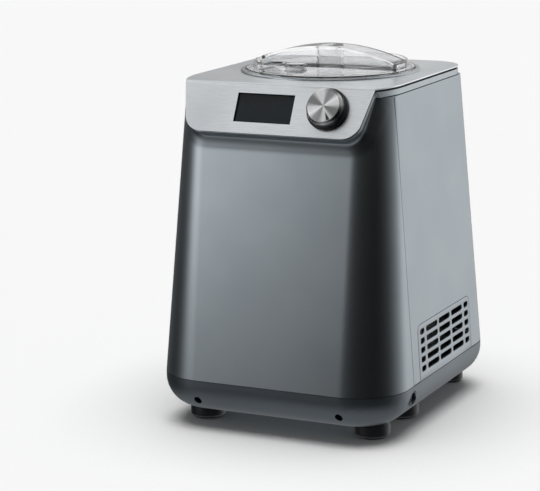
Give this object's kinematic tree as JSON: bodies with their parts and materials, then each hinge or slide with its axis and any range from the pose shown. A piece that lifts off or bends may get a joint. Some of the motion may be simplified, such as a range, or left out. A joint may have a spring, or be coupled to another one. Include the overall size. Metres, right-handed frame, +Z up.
{
  "type": "ice cream maker",
  "caption": "Upright tabletop ice cream maker with a built-in compressor, tapered anthracite housing, steel control fascia, clear lid and lift-out bowl.",
  "frame": {"origin": "on the floor under the middle of the machine's bounding box", "axes": "+Z up, -Y to the front with the display and the knob, +X to the right seen from the front"},
  "size_m": [0.248, 0.2851, 0.354],
  "materials": {
    "housing": "anthracite metallic lacquer, satin",
    "collar": "anthracite metallic lacquered ABS, satin",
    "base": "dark grey ABS, fine satin",
    "steel_plate": "stainless steel, brushed across",
    "gasket_black": "black, matt",
    "display_glass": "smoked acrylic, polished",
    "electronics": "green circuit laminate and black parts",
    "knob_metal": "aluminium with a spun face",
    "knob_black": "black moulded plastic",
    "ring_metal": "aluminium, satin",
    "clear_lid": "clear SAN plastic, polished",
    "seal_silicone": "translucent silicone",
    "bowl_aluminium": "anodised aluminium, satin",
    "paddle_plastic": "translucent white polypropylene",
    "wire_steel": "stainless steel wire",
    "foam": "polyurethane foam",
    "copper": "copper tube, drawn",
    "fin_aluminium": "thin aluminium sheet",
    "compressor_black": "black stove enamel",
    "zinc_steel": "zinc-plated steel",
    "gear_plastic": "natural acetal",
    "inner_black": "black moulded plastic",
    "feet_black": "dark grey moulded plastic",
    "pad_rubber": "black rubber",
    "shaft_steel": "ground stainless steel"
  },
  "bodies": {
    "machine": {"base_tray": "base", "feet": "feet_black", "foot_pads": "pad_rubber", "foot_screws": "zinc_steel", "case_screws": "zinc_steel", "side_plugs": "base", "front_housing": "housing", "side_panel_right": "housing", "side_panel_left": "housing", "rear_panel": "housing", "side_grille_right": "housing", "side_grille_left": "housing", "cord_gland": "inner_black", "top_frame": "collar", "plate_gasket": "gasket_black", "top_plate": "steel_plate", "trim_ring": "ring_metal", "cooling_well": "bowl_aluminium", "shaft_bush": "inner_black", "shaft_seal": "seal_silicone", "insulation_foam": "foam", "evaporator_coil": "copper", "gearbox_housing": "inner_black", "gearbox_cover": "inner_black", "motor_can": "zinc_steel", "compressor": "compressor_black", "terminal_cover": "inner_black", "compressor_base": "zinc_steel", "compressor_grommets": "pad_rubber", "compressor_bolts": "zinc_steel", "condenser_tube": "copper", "condenser_fins": "fin_aluminium", "fan_frame": "inner_black", "discharge_line": "copper", "filter_drier": "copper", "capillary_tube": "copper", "suction_line": "copper", "deck": "zinc_steel", "display_window": "display_glass", "display_module": "inner_black", "control_board": "electronics", "encoder": "inner_black", "power_board": "electronics", "control_cable": "inner_black"},
    "bowl": {"bowl": "bowl_aluminium"},
    "lid_seal": {"lid_seal": "seal_silicone"},
    "lid": {"lid": "clear_lid"},
    "refill_cap": {"refill_cap": "clear_lid"},
    "bowl_handle": {"bowl_handle": "wire_steel"},
    "paddle": {"mixing_paddle": "paddle_plastic"},
    "drive": {"drive_shaft": "shaft_steel", "output_gear": "gear_plastic"},
    "idler": {"idler_gear": "gear_plastic"},
    "motor": {"motor_rotor": "shaft_steel", "motor_pinion": "shaft_steel"},
    "fan": {"fan_rotor": "inner_black"},
    "knob_push": {"encoder_plunger": "knob_black"},
    "knob": {"encoder_shaft": "zinc_steel", "knob_skirt": "knob_black", "knob_cap": "knob_metal"}
  },
  "joints": [
    {"name": "bowl_lift", "type": "slide", "parent": "machine", "child": "bowl", "axis": [0, 0, 1], "range_m": [0, 0.17]},
    {"name": "lid_lift", "type": "slide", "parent": "bowl", "child": "lid_seal", "axis": [0, 0, 1], "range_m": [0, 0.25]},
    {"name": "lid_turn", "type": "hinge", "parent": "lid_seal", "child": "lid", "pos_m": [0, 0.0125, 0.332], "axis": [0, 0, 1], "range_deg": [0, 25]},
    {"name": "refill_cap_lift", "type": "slide", "parent": "lid", "child": "refill_cap", "axis": [0, 0, 1], "range_m": [0, 0.05]},
    {"name": "bowl_handle_swing", "type": "hinge", "parent": "bowl", "child": "bowl_handle", "pos_m": [0, 0.0125, 0.318], "axis": [1, 0, 0], "range_deg": [0, 90.01]},
    {"name": "paddle_turn", "type": "hinge", "parent": "bowl", "child": "paddle", "pos_m": [0, 0.0125, 0.25], "axis": [0, 0, 1], "continuous": true},
    {"name": "shaft_turn", "type": "hinge", "parent": "machine", "child": "drive", "pos_m": [0, 0.0125, 0.15], "axis": [0, 0, 1], "continuous": true},
    {"name": "idler_turn", "type": "hinge", "parent": "machine", "child": "idler", "pos_m": [0.018, -0.01868, 0.13], "axis": [0, 0, 1], "continuous": true},
    {"name": "motor_turn", "type": "hinge", "parent": "machine", "child": "motor", "pos_m": [0.04619, -0.02894, 0.09], "axis": [0, 0, 1], "continuous": true},
    {"name": "fan_turn", "type": "hinge", "parent": "machine", "child": "fan", "pos_m": [0.06, 0.05, 0.082], "axis": [1, 0, 0], "continuous": true},
    {"name": "knob_push", "type": "slide", "parent": "machine", "child": "knob_push", "axis": [0, 0.889, -0.4579], "range_m": [0, 0.0008], "stiffness_N_per_m": 4000, "springref_m": -0.0004},
    {"name": "knob_turn", "type": "hinge", "parent": "knob_push", "child": "knob", "pos_m": [0.0544, -0.11557, 0.31044], "axis": [0, -0.889, 0.4579], "continuous": true}
  ],
  "couplings": [
    {"joint": "idler_turn", "follows": "shaft_turn", "ratio": -5},
    {"joint": "motor_turn", "follows": "shaft_turn", "ratio": 20},
    {"joint": "paddle_turn", "follows": "shaft_turn", "ratio": 1},
    {"joint": "bowl_handle_swing", "follows": "lid_lift", "rad_per_m": 6.2832}
  ]
}
